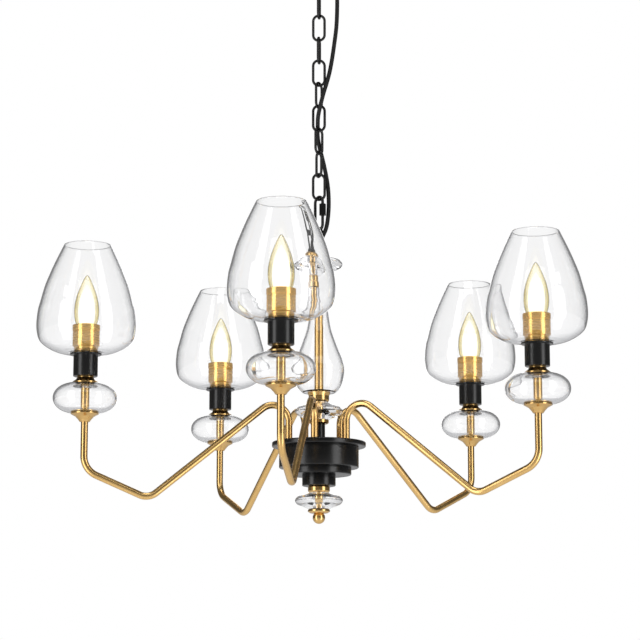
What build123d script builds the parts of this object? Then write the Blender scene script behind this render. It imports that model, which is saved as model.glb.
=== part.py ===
from build123d import *
from math import cos, pi, radians, sin, tan
import os

# Five-arm chandelier on a chain. Millimetres, +Z up. While a piece is drawn, heights are counted from
# the lamp level, the face on which each glass ball sits. save() then lowers it, so that the ceiling is z = 0.
CEILING = 680.0          # ceiling face above the lamp level
ARMS = 5
LAMP_R = 330.0           # lamp axes from the centre line
FIT = 0.05               # play between pieces that are screwed or pushed together
GAP = 0.3                # clearance between pieces that move past each other

# arms
ARM_TUBE_R, ARM_BORE_R = 5.0, 4.0
ARM_FOOT_R = 43.0        # where an arm leaves the hub
ARM_FOOT_H = -52.0
ARM_PEAK_H = 42.0        # corner above the hub, before rounding
ARM_KNEE_R, ARM_KNEE_H = 239.8, -118.4
ARM_ELBOW_H = -79.5      # corner below the lamp, before rounding
ARM_TOP_H = -3.0
ARM_BENDS = [23.0, 22.0, 29.0]
WIRE_R = 2.0

# lamp stack
BALL_R, BALL_FLAT_R, BALL_H, BALL_WALL = 44.75, 18.0, 41.0, 2.6
LAMP_TUBE_R, LAMP_TUBE_BORE_R = 6.0, 4.2
LOWER_CONE_R, LOWER_CONE_H = 19.5, 13.0
UPPER_CONE_TOP_R, UPPER_CONE_R, UPPER_CONE_TOP_H = 11.5, 17.75, 50.6
CUP_R, CUP_WALL, CUP_FLOOR = 17.1, 1.6, 3.4
FLANGE_R, FLANGE_T, FLANGE_H = 22.0, 2.5, 83.3
HOLDER_BASE_R, HOLDER_R, HOLDER_BORE_R = 12.6, 14.0, 8.8
HOLDER_BOTTOM_H, HOLDER_TOP_H, HOLDER_FLOOR_H = 58.0, 110.0, 86.5
SHADE_WALL, SHADE_HOLE_R, SHADE_FLOOR_R = 2.4, 16.0, 27.0
SHADE_SIDE = [(49.0, 89.0), (60.0, 96.0), (66.6, 104.5), (69.5, 121.0), (68.0, 142.0), (64.6, 156.0),
              (59.0, 177.0), (53.0, 193.0), (45.5, 211.0), (33.3, 237.0)]
RING_NECK_R, RING_NECK_BORE_R, RING_BODY_R, RING_TOP_R, RING_BORE_R = 16.9, 14.3, 18.7, 19.15, 17.95
RING_NECK_H, RING_GROOVE_H, RING_LIP_H, RING_TOP_H = 92.0, 113.6, 115.0, 123.0
BULB_CAP_R, BULB_CAP_H, BULB_CAP_TOP_H, BULB_WALL = 6.9, 88.0, 108.0, 0.9
BULB_SIDE = [(7.3, 108.0), (8.6, 112.0), (13.0, 121.0), (16.4, 131.0), (17.5, 142.0), (16.6, 154.0),
             (13.4, 167.0), (9.0, 179.0), (4.6, 189.0), (1.4, 193.6)]

# centre column
STEM_R, STEM_BORE_R, STEM_BOTTOM_H, STEM_TOP_H = 6.35, 4.6, -40.0, 236.0
STEM_CAP_TOP_H = 241.0
ROD_R, ROD_BORE_R, ROD_BOTTOM_H, ROD_TOP_H = 4.5, 3.0, -133.0, -30.0
PLATE_R, PLATE_T, PLATE_TOP_H = 66.3, 7.0, -35.0
DRUM_R, DRUM_BOTTOM_H = 56.2, -71.5
STEP_R, STEP_BOTTOM_H = 45.7, -81.4
HUB_CUP_R, HUB_CUP_BOTTOM_H = 23.6, -97.0
HUB_WALL = 1.6
DISC_R, DISC_HOLE_R = 35.0, 6.7
FINIAL_TUBE_R = 6.0
BALL_FINIAL_R, BALL_FINIAL_H = 8.75, -141.2
VASE_WALL = 2.6
VASE_SIDE = [(24.0, 36.4), (31.5, 46.0), (36.0, 66.0), (33.4, 82.0), (27.6, 97.0), (22.0, 112.0),
             (17.4, 126.0), (14.6, 141.0), (12.4, 158.0), (11.2, 173.0), (11.4, 185.5)]

# chain: wires touch at heights one pitch apart, with a hair of play
LINK_WIRE_R, LINK_HALF_WIDTH, PITCH = 1.9, 8.35, 34.0
CHAIN_FOOT_H = 318.0     # the lowest ordinary link hangs on to the quick link here
LINK_PLAY = 0.1
LINK_TURNS = [15.0, 123.0, 63.0, 5.0, 69.0, 12.0, 89.0, 0.0]     # about +Z, from the lowest link up
TOP_LINK_TURN = 90.0
CEILING_LOOP_FOOT_H = CHAIN_FOOT_H + (len(LINK_TURNS) + 1) * PITCH
QUICK_WIRE_R, QUICK_HALF_WIDTH, QUICK_TURN, QUICK_FOOT_H = 2.1, 8.5, -43.0, 273.0
QUICK_NUT_R, QUICK_NUT_LENGTH, QUICK_NUT_H = 4.8, 17.0, 300.0
QUICK_GAP_H, QUICK_GAP = 303.0, 5.0
EYE_WIRE_R, EYE_HALF_WIDTH, EYE_TURN, EYE_FOOT_R = 1.7, 5.6, 47.0, 8.4
EYE_BORE_R = 3.7

# cable, from the terminal block down to the stem; heights from the lamp level
CABLE_R = 3.0
CABLE_TOP = [(27.0, 0.0, 666.0), (27.0, 0.0, 637.0), (26.2, 0.2, 607.0)]
CABLE_DROP = [(26.2, 0.2, 607.0), (25.4, 0.4, 577.0), (23.0, 0.2, 551.0), (19.8, -0.6, 527.0),
              (16.6, -2.4, 507.0), (13.0, -6.0, 490.0), (8.6, -9.2, 474.0), (5.4, -9.8, 461.0),
              (2.0, -7.6, 449.0), (-1.4, -1.4, 438.0), (-2.4, 5.0, 427.0), (-3.6, 9.6, 414.0),
              (-1.8, 12.8, 400.0), (2.0, 13.8, 385.0), (5.8, 12.8, 369.0), (9.2, 11.2, 353.0),
              (11.9, 9.2, 337.0), (13.4, 6.2, 320.0), (13.8, 3.2, 303.0), (13.0, 0.2, 287.0),
              (11.2, -3.0, 273.0), (6.6, -4.8, 262.0), (1.6, -1.8, 253.5), (0.0, 0.0, 244.0)]

# ceiling fitting
BAR_LENGTH, BAR_WIDTH, BAR_T, BAR_HOLE_R, BAR_HOLE_SPACING = 106.0, 20.0, 2.5, 2.6, 90.0
BOSS_R, BOSS_BOTTOM_H = 9.0, 670.0
NIPPLE_R, NIPPLE_BORE_R, NIPPLE_TOP_H, NIPPLE_BOTTOM_H = 5.0, 3.4, 679.0, 648.0
CANOPY_R, CANOPY_FOOT_R, CANOPY_H, CANOPY_WALL, CANOPY_HOLE_R, CANOPY_CORNER = 60.0, 56.0, 28.0, 1.2, 15.5, 9.0
COLLAR_R, COLLAR_TOP_H, COLLAR_BOTTOM_H = 13.0, 657.0, 639.5
HANGER_WIRE_R, HANGER_R = 2.0, 8.5
NUT_R, NUT_T = 19.0, 6.0
GRIP_X, GRIP_R, GRIP_HEAD_R = 27.0, 5.4, 7.2
BLOCK = (18.0, 18.0, 11.5)


def save(name, *solids):
    """Writes one node: its solids, lowered so that the ceiling face is z = 0."""
    moved = [Pos(0, 0, -CEILING) * s for s in solids]
    shape = moved[0] if len(moved) == 1 else Compound(children=moved)
    export_step(shape, f"parts/{name}.step")


def turned(*outline):
    """A solid of revolution about Z from its closed (radius, height) outline."""
    return revolve(make_face(Polyline(*[(r, 0, h) for r, h in outline], close=True)), Axis.Z)


def ring(outer, inner, low, high):
    """A plain round tube or washer."""
    return turned((inner, low), (outer, low), (outer, high), (inner, high))


def line_xz(points):
    return [(r, 0, h) for r, h in points]


def blown(edges, wall, steps=36):
    """Blown glass: the outer line of connected edges, set in by the wall to its left, turned about Z."""
    outer = Wire(edges)
    spots = [(outer @ (i / steps), outer % (i / steps)) for i in range(steps + 1)]
    inner = Spline(*[p + Vector(-d.Z, 0, d.X) * wall for p, d in spots])
    skin = Wire([*outer.edges(), Line(outer @ 1, inner @ 1), inner, Line(inner @ 0, outer @ 0)])
    return revolve(Face(skin), Axis.Z)


def at_arm(index, piece, radius=0.0):
    """Moves a piece out to a radius and round to one of the arms; the first arm points along -Y."""
    return Rot(0, 0, -90 + index * 360 / ARMS) * Pos(radius, 0, 0) * piece


def on_each_arm(piece, radius=LAMP_R):
    return [at_arm(i, piece, radius) for i in range(ARMS)]


def oval_loop(wire_r, half_width, low, high):
    """A closed oval loop of round wire in the XZ plane; low and high are its wire's centre heights."""
    left, right = (-half_width, 0, low + half_width), (half_width, 0, low + half_width)
    top_left, top_right = (-half_width, 0, high - half_width), (half_width, 0, high - half_width)
    path = Wire([Line(right, top_right), ThreePointArc(top_right, (0, 0, high), top_left),
                 Line(top_left, left), ThreePointArc(left, (0, 0, low), right)])
    return sweep(Plane(right, z_dir=(0, 0, 1)) * Circle(wire_r), path)


def rod_along(path, radius):
    return sweep(Plane(path @ 0, z_dir=path % 0) * Circle(radius), path)


def cable(name, route):
    """A cable tube of straight runs and tangent arcs; prints its bend radii, length and volume ratio."""
    points = [Vector(*p) for p in route]
    runs = [b - a for a, b in zip(points, points[1:])]
    bends = []
    for before, after in zip(runs, runs[1:]):
        half_turn = radians(before.get_angle(after)) / 2
        bends.append(0.45 * min(before.length, after.length) / tan(half_turn))
    path = FilletPolyline(*points, radius=bends)
    tube = rod_along(path, CABLE_R)
    print(name, "radii", [round(b) for b in bends], "length", round(path.length, 1),
          "volume over section x length", round(tube.volume / (pi * CABLE_R**2 * path.length), 4))
    save(name, tube)


def ceiling_fitting():
    bar = Pos(0, 0, CEILING - BAR_T / 2) * Box(BAR_LENGTH, BAR_WIDTH, BAR_T)
    bar = fillet(bar.edges().filter_by(Axis.Z), 4)
    bar += ring(BOSS_R, 0, BOSS_BOTTOM_H, CEILING - BAR_T)
    for side in (-1, 1):
        bar -= Pos(side * BAR_HOLE_SPACING / 2, 0, CEILING) * Cylinder(BAR_HOLE_R, 4 * BAR_T)
    bar -= Pos(0, 0, CEILING) * Cylinder(NIPPLE_R + FIT, 4 * BOSS_R)
    save("ceiling_bracket", bar)
    save("threaded_nipple", ring(NIPPLE_R, NIPPLE_BORE_R, NIPPLE_BOTTOM_H, NIPPLE_TOP_H))

    hanger_h = CEILING_LOOP_FOOT_H - HANGER_WIRE_R + HANGER_R
    collar = ring(COLLAR_R, 0, COLLAR_BOTTOM_H, COLLAR_TOP_H)
    collar = chamfer(collar.edges().group_by(Axis.Z)[0], 1.5)
    collar -= Pos(0, 0, COLLAR_TOP_H) * Cylinder(NIPPLE_R + FIT, 2 * (COLLAR_TOP_H - NIPPLE_BOTTOM_H))
    hanger = Pos(0, 0, hanger_h) * Rot(90, 0, 0) * Torus(HANGER_R, HANGER_WIRE_R)
    save("canopy_loop", collar + hanger)

    block_x, block_y, block_h = BLOCK
    block = Box(block_x, block_y, block_h)
    block = fillet(block.edges().filter_by(Axis.Z), 1.5)
    save("terminal_block", Pos(GRIP_X, 0, CEILING - BAR_T - block_h / 2) * block)


def canopy_parts():
    bottom = CEILING - CANOPY_H
    cup = turned((0, bottom), (CANOPY_FOOT_R, bottom), (CANOPY_R, CEILING), (0, CEILING))
    cup = fillet(cup.edges().group_by(Axis.Z)[0], CANOPY_CORNER)
    hollow = turned((0, bottom + CANOPY_WALL), (CANOPY_FOOT_R - CANOPY_WALL, bottom + CANOPY_WALL),
                    (CANOPY_R - CANOPY_WALL, CEILING + 0.01), (0, CEILING + 0.01))
    hollow = fillet(hollow.edges().group_by(Axis.Z)[0], CANOPY_CORNER - CANOPY_WALL)
    cup -= hollow
    cup -= Pos(0, 0, bottom) * Cylinder(CANOPY_HOLE_R, 4 * CANOPY_WALL)
    cup -= Pos(GRIP_X, 0, bottom) * Cylinder(GRIP_R + FIT, 4 * CANOPY_WALL)
    save("canopy", cup)
    grip = turned((CABLE_R + GAP, bottom - 3.5), (GRIP_HEAD_R - 1.5, bottom - 3.5), (GRIP_HEAD_R, bottom - 2),
                  (GRIP_HEAD_R, bottom), (GRIP_R, bottom), (GRIP_R, bottom + 6), (CABLE_R + GAP, bottom + 6))
    save("canopy_cord_grip", Pos(GRIP_X, 0, 0) * grip)
    nut = ring(NUT_R, COLLAR_R + GAP, bottom - NUT_T, bottom)
    save("canopy_ring_nut", chamfer(nut.edges().group_by(Axis.Z)[0], 1.2))


def chain():
    def link(foot_h, turn):
        reach = LINK_WIRE_R + LINK_PLAY / 2
        return Rot(0, 0, turn) * oval_loop(LINK_WIRE_R, LINK_HALF_WIDTH, foot_h - reach, foot_h + PITCH + reach)

    save("chain_links", *[link(CHAIN_FOOT_H + i * PITCH, turn) for i, turn in enumerate(LINK_TURNS)])
    save("top_link", link(CHAIN_FOOT_H + len(LINK_TURNS) * PITCH, TOP_LINK_TURN))
    quick_reach = QUICK_WIRE_R + LINK_PLAY / 2
    quick = oval_loop(QUICK_WIRE_R, QUICK_HALF_WIDTH, QUICK_FOOT_H - quick_reach, CHAIN_FOOT_H + quick_reach)
    quick -= Pos(QUICK_HALF_WIDTH, 0, QUICK_GAP_H) * Box(3 * QUICK_WIRE_R, 3 * QUICK_WIRE_R, QUICK_GAP)
    save("quick_link", Rot(0, 0, QUICK_TURN) * quick)
    nut = Pos(0, 0, QUICK_NUT_H) * extrude(RegularPolygon(QUICK_NUT_R, 6), QUICK_NUT_LENGTH / 2, both=True)
    nut -= Pos(0, 0, QUICK_NUT_H) * Cylinder(QUICK_WIRE_R + FIT, 2 * QUICK_NUT_LENGTH)
    save("quick_link_nut", Rot(0, 0, QUICK_TURN) * Pos(QUICK_HALF_WIDTH, 0, 0) * nut)

    eye_top = QUICK_FOOT_H + EYE_WIRE_R
    base = STEM_CAP_TOP_H
    arch = Wire([Line((EYE_HALF_WIDTH, 0, base + 2), (EYE_HALF_WIDTH, 0, eye_top - EYE_HALF_WIDTH)),
                 ThreePointArc((EYE_HALF_WIDTH, 0, eye_top - EYE_HALF_WIDTH), (0, 0, eye_top),
                               (-EYE_HALF_WIDTH, 0, eye_top - EYE_HALF_WIDTH)),
                 Line((-EYE_HALF_WIDTH, 0, eye_top - EYE_HALF_WIDTH), (-EYE_HALF_WIDTH, 0, base + 2))])
    eye = rod_along(arch, EYE_WIRE_R)
    eye += turned((EYE_BORE_R, base), (EYE_FOOT_R, base), (EYE_FOOT_R, base + 3), (EYE_FOOT_R - 1.2, base + 5),
                  (EYE_BORE_R + 0.8, base + 5), (EYE_BORE_R, base + 1))
    eye += ring(STEM_BORE_R - FIT, EYE_BORE_R, STEM_TOP_H - 8, base)
    save("stem_eye", Rot(0, 0, EYE_TURN) * eye)


def glass_disc(name, low, high, widest):
    """Solid clear lens of glass: sloped faces, a blunt rounded rim and a hole for the stem."""
    shoulder, edge = 14.0, 30.5
    outline = [Line((DISC_HOLE_R, 0, low), (shoulder, 0, low)),
               Line((shoulder, 0, low), (edge, 0, widest - 5.5)),
               ThreePointArc((edge, 0, widest - 5.5), (DISC_R, 0, widest), (edge, 0, widest + 5.5)),
               Line((edge, 0, widest + 5.5), (shoulder, 0, high)),
               Line((shoulder, 0, high), (DISC_HOLE_R, 0, high)), Line((DISC_HOLE_R, 0, high), (DISC_HOLE_R, 0, low))]
    save(name, revolve(Face(Wire(outline)), Axis.Z))


def centre_column():
    sleeve = STEM_R + FIT
    save("stem_tube", ring(STEM_R, STEM_BORE_R, STEM_BOTTOM_H, STEM_TOP_H))
    save("stem_cap", turned((CABLE_R + GAP + 1.4, STEM_TOP_H + FIT), (sleeve, STEM_TOP_H + FIT), (sleeve, 233.0),
                            (15.0, 233.0), (14.0, 237.5), (11.0, 240.0), (9.0, STEM_CAP_TOP_H),
                            (CABLE_R + GAP + 1.4, STEM_CAP_TOP_H)))
    glass_disc("upper_glass_disc", 206.0, 233.0, 221.0)
    save("upper_collar", turned((sleeve, 187.0), (9.0, 187.0), (10.5, 189.0), (10.5, 196.0), (9.0, 198.0),
                                (9.0, 206.0), (sleeve, 206.0)))
    vase_foot = [Line((DISC_HOLE_R, 0, 36.0), (20.0, 0, 36.0)), Line((20.0, 0, 36.0), (24.0, 0, 36.4))]
    vase_body = Spline(*line_xz(VASE_SIDE))
    save("glass_vase", blown([*vase_foot, vase_body], VASE_WALL))
    save("vase_collar", turned((sleeve, 22.0), (13.0, 22.0), (14.5, 25.0), (14.5, 31.0), (16.5, 36.0), (sleeve, 36.0)))
    glass_disc("lower_glass_disc", -3.0, 22.0, 9.0)
    save("disc_collar", turned((sleeve, -9.0), (12.0, -9.0), (14.0, -7.5), (14.0, -3.0), (sleeve, -3.0)))
    save("black_stem", ring(8.7, sleeve, PLATE_TOP_H, -9.0))


def hub():
    plate_low = PLATE_TOP_H - PLATE_T
    plate = ring(PLATE_R, STEM_R + FIT, plate_low, PLATE_TOP_H)
    plate = fillet(plate.edges().filter_by(GeomType.CIRCLE).group_by(SortBy.RADIUS)[-1], 1.2)
    for hole in on_each_arm(Pos(0, 0, plate_low) * Cylinder(ARM_TUBE_R + FIT, 4 * PLATE_T), ARM_FOOT_R):
        plate -= hole
    save("hub_plate", plate)

    def pan(radius, low, high, hole_r):
        return turned((hole_r, low), (radius, low), (radius, high), (radius - HUB_WALL, high),
                      (radius - HUB_WALL, low + HUB_WALL), (hole_r, low + HUB_WALL))

    save("hub_drum", pan(DRUM_R, DRUM_BOTTOM_H, plate_low, ROD_R + FIT))
    save("hub_step", pan(STEP_R, STEP_BOTTOM_H, DRUM_BOTTOM_H, ROD_R + FIT))
    save("hub_cup", pan(HUB_CUP_R, HUB_CUP_BOTTOM_H, STEP_BOTTOM_H, ROD_R + FIT))
    save("centre_rod", ring(ROD_R, ROD_BORE_R, ROD_BOTTOM_H, ROD_TOP_H))

    def hex_nut(bore_r, across, low, thickness):
        nut = Pos(0, 0, low) * extrude(RegularPolygon(across / 2 / cos(pi / 6), 6), thickness)
        return nut - Pos(0, 0, low) * Cylinder(bore_r + FIT, 4 * thickness)

    nuts = on_each_arm(hex_nut(ARM_TUBE_R, 15.0, plate_low - 4.5, 4.5), ARM_FOOT_R)
    save("hub_nuts", *nuts, hex_nut(ROD_R, 13.0, DRUM_BOTTOM_H + HUB_WALL, 4.5),
         hex_nut(STEM_R, 19.0, plate_low - 5.0 - 0.2, 5.0))
    connector = Box(26.0, 12.0, 9.0)
    save("hub_connector", Pos(0, 22.0, DRUM_BOTTOM_H + HUB_WALL + 4.5) * fillet(connector.edges(), 1.5))


def finial():
    top = HUB_CUP_BOTTOM_H
    save("finial_upper_ring", turned((ROD_R + FIT, -106.0), (13.5, -106.0), (15.4, -104.0), (15.4, -98.5),
                                     (14.0, top), (ROD_R + FIT, top)))
    glass_disc("finial_glass", -129.0, -106.0, -117.0)
    save("finial_tube", ring(FINIAL_TUBE_R, ROD_R + FIT, -129.0, -106.0))
    sphere_top = BALL_FINIAL_H + BALL_FINIAL_R
    outline = Wire([Line((0, 0, -129.0), (14.0, 0, -129.0)), Line((14.0, 0, -129.0), (15.5, 0, -130.5)),
                    Line((15.5, 0, -130.5), (15.5, 0, -133.0)), Line((15.5, 0, -133.0), (12.0, 0, -135.0)),
                    Line((12.0, 0, -135.0), (5.0, 0, -135.5)), Line((5.0, 0, -135.5), (0, 0, -135.5)),
                    Line((0, 0, -135.5), (0, 0, -129.0))])
    finial = revolve(Face(outline), Axis.Z) + Pos(0, 0, BALL_FINIAL_H) * Sphere(BALL_FINIAL_R)
    finial -= Pos(0, 0, ROD_BOTTOM_H - 1 + 20) * Cylinder(ROD_R + FIT, 40)
    save("finial_ball", finial)


def arms():
    centre = [(ARM_FOOT_R, 0, ARM_FOOT_H), (ARM_FOOT_R, 0, ARM_PEAK_H), (ARM_KNEE_R, 0, ARM_KNEE_H),
              (LAMP_R, 0, ARM_ELBOW_H), (LAMP_R, 0, ARM_TOP_H)]
    path = FilletPolyline(*centre, radius=ARM_BENDS)
    arm = rod_along(path, ARM_TUBE_R) - rod_along(path, ARM_BORE_R)
    wire_ends = [(ARM_FOOT_R, 0, ARM_FOOT_H - 6), *centre[1:-1], (LAMP_R, 0, HOLDER_BOTTOM_H)]
    wire = rod_along(FilletPolyline(*wire_ends, radius=ARM_BENDS), WIRE_R)
    for i in range(ARMS):
        save(f"arm_{i + 1}", at_arm(i, arm))
    save("arm_wires", *on_each_arm(wire, 0))


def lamps():
    half = BALL_H / 2
    side = EllipticalCenterArc((BALL_FLAT_R, half), BALL_R - BALL_FLAT_R, half, start_angle=-90, arc_size=180)
    side = Plane.XZ * side
    flat_low = Line((LAMP_TUBE_R + 2.5, 0, 0), side @ 0)
    flat_high = Line(side @ 1, (LAMP_TUBE_R + 2.5, 0, BALL_H))
    save("glass_balls", *on_each_arm(blown([flat_low, side, flat_high], BALL_WALL)))

    tube_seat = LAMP_TUBE_R + FIT
    lower = turned((ARM_TUBE_R + FIT, -LOWER_CONE_H), (7.0, -LOWER_CONE_H), (9.0, -10.0), (13.0, -5.5),
                   (LOWER_CONE_R, -2.0), (LOWER_CONE_R, 0), (tube_seat, 0), (tube_seat, ARM_TOP_H),
                   (ARM_TUBE_R + FIT, ARM_TOP_H))
    upper = turned((tube_seat, BALL_H), (UPPER_CONE_R, BALL_H), (UPPER_CONE_R, BALL_H + 2), (13.0, 46.5),
                   (UPPER_CONE_TOP_R, 49.0), (UPPER_CONE_TOP_R, UPPER_CONE_TOP_H), (tube_seat, UPPER_CONE_TOP_H))
    save("ball_cones", *on_each_arm(lower), *on_each_arm(upper))
    save("lamp_tubes", *on_each_arm(ring(LAMP_TUBE_R, LAMP_TUBE_BORE_R, ARM_TOP_H, HOLDER_BOTTOM_H)))

    cup_h, cup_bore = UPPER_CONE_TOP_H, CUP_R - CUP_WALL
    cup = turned((tube_seat, cup_h), (CUP_R - 1, cup_h), (CUP_R, cup_h + 1), (CUP_R, FLANGE_H - FLANGE_T),
                 (FLANGE_R, FLANGE_H - FLANGE_T), (FLANGE_R, FLANGE_H), (cup_bore, FLANGE_H),
                 (cup_bore, cup_h + CUP_FLOOR), (tube_seat, cup_h + CUP_FLOOR))
    save("candle_cups", *on_each_arm(cup))
    holder = turned((HOLDER_BORE_R, HOLDER_FLOOR_H), (HOLDER_BORE_R, HOLDER_TOP_H), (HOLDER_R, HOLDER_TOP_H),
                    (HOLDER_R, FLANGE_H), (HOLDER_BASE_R, FLANGE_H - 4), (HOLDER_BASE_R, HOLDER_BOTTOM_H),
                    (0, HOLDER_BOTTOM_H), (0, HOLDER_FLOOR_H))
    save("lampholders", *on_each_arm(holder))

    floor_h = FLANGE_H
    floor = Line((SHADE_HOLE_R, 0, floor_h), (SHADE_FLOOR_R, 0, floor_h))
    wall = Spline((SHADE_FLOOR_R, 0, floor_h), *line_xz(SHADE_SIDE),
                  tangents=[(1, 0, 0), (-0.42, 0, 0.9)])
    shade = blown([floor, wall], SHADE_WALL, steps=60)

    seat_h = floor_h + SHADE_WALL + FIT
    shade_ring = turned((RING_NECK_BORE_R, seat_h), (RING_NECK_R, seat_h), (RING_NECK_R, RING_NECK_H),
                        (RING_BODY_R, RING_NECK_H + 0.6), (RING_BODY_R, RING_GROOVE_H), (RING_BORE_R + 0.4, RING_GROOVE_H),
                        (RING_BORE_R + 0.4, RING_LIP_H), (RING_TOP_R, RING_LIP_H), (RING_TOP_R, RING_TOP_H),
                        (RING_BORE_R, RING_TOP_H), (RING_BORE_R, RING_NECK_H + 2), (RING_NECK_BORE_R, RING_NECK_H))
    bulb_wall = Spline(*line_xz(BULB_SIDE), (0, 0, 194.0), tangents=[(0, 0, 1), (-1, 0, 0)])
    outer = Face(Wire([bulb_wall, Line((0, 0, 194.0), (0, 0, BULB_CAP_TOP_H)),
                       Line((0, 0, BULB_CAP_TOP_H), bulb_wall @ 0)]))
    envelope = revolve(outer, Axis.Z)
    cap = turned((0, BULB_CAP_H), (3.5, BULB_CAP_H), (BULB_CAP_R, BULB_CAP_H + 3), (BULB_CAP_R, BULB_CAP_TOP_H),
                 (0, BULB_CAP_TOP_H))
    for i in range(ARMS):
        save(f"glass_shade_{i + 1}", at_arm(i, shade, LAMP_R))
        save(f"shade_ring_{i + 1}", at_arm(i, shade_ring, LAMP_R))
        save(f"bulb_{i + 1}", at_arm(i, envelope, LAMP_R), at_arm(i, cap, LAMP_R))


os.makedirs("parts", exist_ok=True)
ceiling_fitting()
canopy_parts()
chain()
cable("cable_top", CABLE_TOP)
cable("cable_drop", CABLE_DROP)
centre_column()
hub()
finial()
arms()
lamps()
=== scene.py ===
# %% [markdown]
# # A five-arm chandelier on a chain
# The imported model comes in first and stays where it is. Most of what shows is then made around it,
# piece by piece, as a surface worked out with numpy, because turned metal, bent tube and blown glass are
# all simple formulas.

# %% Load the frame
import math

import bmesh
import bpy
import numpy as np
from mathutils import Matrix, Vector


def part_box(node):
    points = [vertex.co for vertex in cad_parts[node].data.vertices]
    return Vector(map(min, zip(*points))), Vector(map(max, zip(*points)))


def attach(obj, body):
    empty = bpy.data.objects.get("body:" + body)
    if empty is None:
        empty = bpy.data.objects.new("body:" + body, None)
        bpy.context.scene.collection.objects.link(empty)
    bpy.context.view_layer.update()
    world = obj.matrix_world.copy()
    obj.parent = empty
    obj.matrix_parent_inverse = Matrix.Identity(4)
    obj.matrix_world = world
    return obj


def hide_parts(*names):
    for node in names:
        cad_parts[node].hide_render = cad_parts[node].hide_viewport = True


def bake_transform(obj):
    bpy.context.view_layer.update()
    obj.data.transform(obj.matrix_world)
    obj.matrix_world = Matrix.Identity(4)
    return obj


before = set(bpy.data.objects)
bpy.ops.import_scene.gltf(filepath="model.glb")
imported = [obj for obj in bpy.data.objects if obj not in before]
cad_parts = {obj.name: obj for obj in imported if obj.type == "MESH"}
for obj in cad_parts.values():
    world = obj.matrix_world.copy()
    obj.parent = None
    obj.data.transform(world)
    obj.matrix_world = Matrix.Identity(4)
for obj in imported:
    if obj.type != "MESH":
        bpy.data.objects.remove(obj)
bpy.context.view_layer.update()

MM = 0.001
ARMS = 5
lamp_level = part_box("glass_balls")[0].z        # the face that each glass ball sits on
lamp_low, lamp_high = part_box("bulb_1")
lamp_reach = -(lamp_low.y + lamp_high.y) / 2    # the first lamp stands on -Y


# %% [markdown]
# Lengths below are in millimetres, and heights are counted from the lamp level, as a maker would mark them
# on the stem. Two small functions turn them into the frame's metres and go round the five arms.

# %% Heights and arm directions
def arm_angle(index):
    """The direction of an arm in radians: the first points to -Y, and the rest share the circle equally."""
    return math.radians(-90 + index * 360 / ARMS)


def arm_point(index):
    """The point on a lamp's axis at the lamp level, in metres."""
    angle = arm_angle(index)
    return np.array([lamp_reach * math.cos(angle), lamp_reach * math.sin(angle), lamp_level])


CENTRE = np.array([0.0, 0.0, lamp_level])


# %% [markdown]
# ## Camera
# A long lens from below eye level: the arms' far and near lamps differ in height only because of it. The
# camera comes first, because the cable has to stay near what it sees.

# %% Camera
CAMERA_TURN = math.radians(8.4)     # round the stem, from -Y towards +X
CAMERA_DISTANCE, CAMERA_DROP = 3.082, 0.403
CAMERA_TILT = math.radians(10.0)
LENS, SENSOR, SHIFT = 123.5, 36.0, 0.0017

camera_data = bpy.data.cameras.new("camera")
camera_data.lens, camera_data.sensor_width, camera_data.shift_x = LENS, SENSOR, SHIFT
camera = bpy.data.objects.new("camera", camera_data)
bpy.context.collection.objects.link(camera)
camera.location = (CAMERA_DISTANCE * math.sin(CAMERA_TURN), -CAMERA_DISTANCE * math.cos(CAMERA_TURN),
                   lamp_level - CAMERA_DROP)
ahead = Vector((-math.sin(CAMERA_TURN) * math.cos(CAMERA_TILT),
                math.cos(CAMERA_TURN) * math.cos(CAMERA_TILT), math.sin(CAMERA_TILT)))
camera.rotation_mode = "QUATERNION"
camera.rotation_quaternion = ahead.to_track_quat("-Z", "Y")
bpy.context.scene.camera = camera
print("camera at", tuple(round(v, 3) for v in camera.location))


# %% [markdown]
# ## Outlines
# Three helpers draw lines: round corners, a flowing line through points, and a wall's closed section. All of
# them work on whole arrays.

# %% Line helpers
def unit(vectors):
    """Each vector divided by its length."""
    return vectors / np.maximum(np.linalg.norm(vectors, axis=-1, keepdims=True), 1e-12)


def round_corners(corners, radius, steps=6, closed=False, share=0.48):
    """The outline with an arc at each corner. With half the inside angle h, an arc of radius r touches the
    sides r / tan(h) from the corner, and its centre is r / sin(h) away on the bisector. It turns through half
    a turn less 2h, and it is cut down where its share of a side is too short for it."""
    b = np.asarray(corners, float)
    a, c = np.roll(b, 1, axis=0), np.roll(b, -1, axis=0)
    u, v = unit(a - b), unit(c - b)
    half = np.clip(0.5 * np.arccos(np.clip((u * v).sum(1), -1, 1)), 1e-3, math.pi / 2 - 1e-6)
    room = share * np.minimum(np.linalg.norm(a - b, axis=1), np.linalg.norm(c - b, axis=1))
    reach = np.minimum(np.broadcast_to(radius, len(b)) / np.tan(half), room)
    size = reach * np.tan(half)
    centre = b + unit(u + v) * (size / np.sin(half))[:, None]
    away, along = unit(b - centre), unit(v - u)
    turn = np.linspace(-0.5, 0.5, steps)[None, :, None] * (math.pi - 2 * half)[:, None, None]
    around = away[:, None] * np.cos(turn) + along[:, None] * np.sin(turn)
    arcs = centre[:, None] + size[:, None, None] * around
    if closed:
        return arcs.reshape(-1, b.shape[1])
    return np.vstack([b[:1], arcs[1:-1].reshape(-1, b.shape[1]), b[-1:]])


def flowing(points, per_span=10):
    """A smooth line through the points: on each span a cubic whose slope at a point is parallel to the line
    between that point's neighbours."""
    p = np.asarray(points, float)
    q = np.vstack([2 * p[0] - p[1], p, 2 * p[-1] - p[-2]])
    a, b, c, d = (q[i:len(q) - 3 + i][:, None] for i in range(4))
    t = np.linspace(0, 1, per_span, endpoint=False)[None, :, None]
    spans = 0.5 * (2 * b + (c - a) * t + (2 * a - 5 * b + 4 * c - d) * t**2 + (3 * b - a - 3 * c + d) * t**3)
    return np.vstack([spans.reshape(-1, p.shape[1]), p[-1:]])


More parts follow.
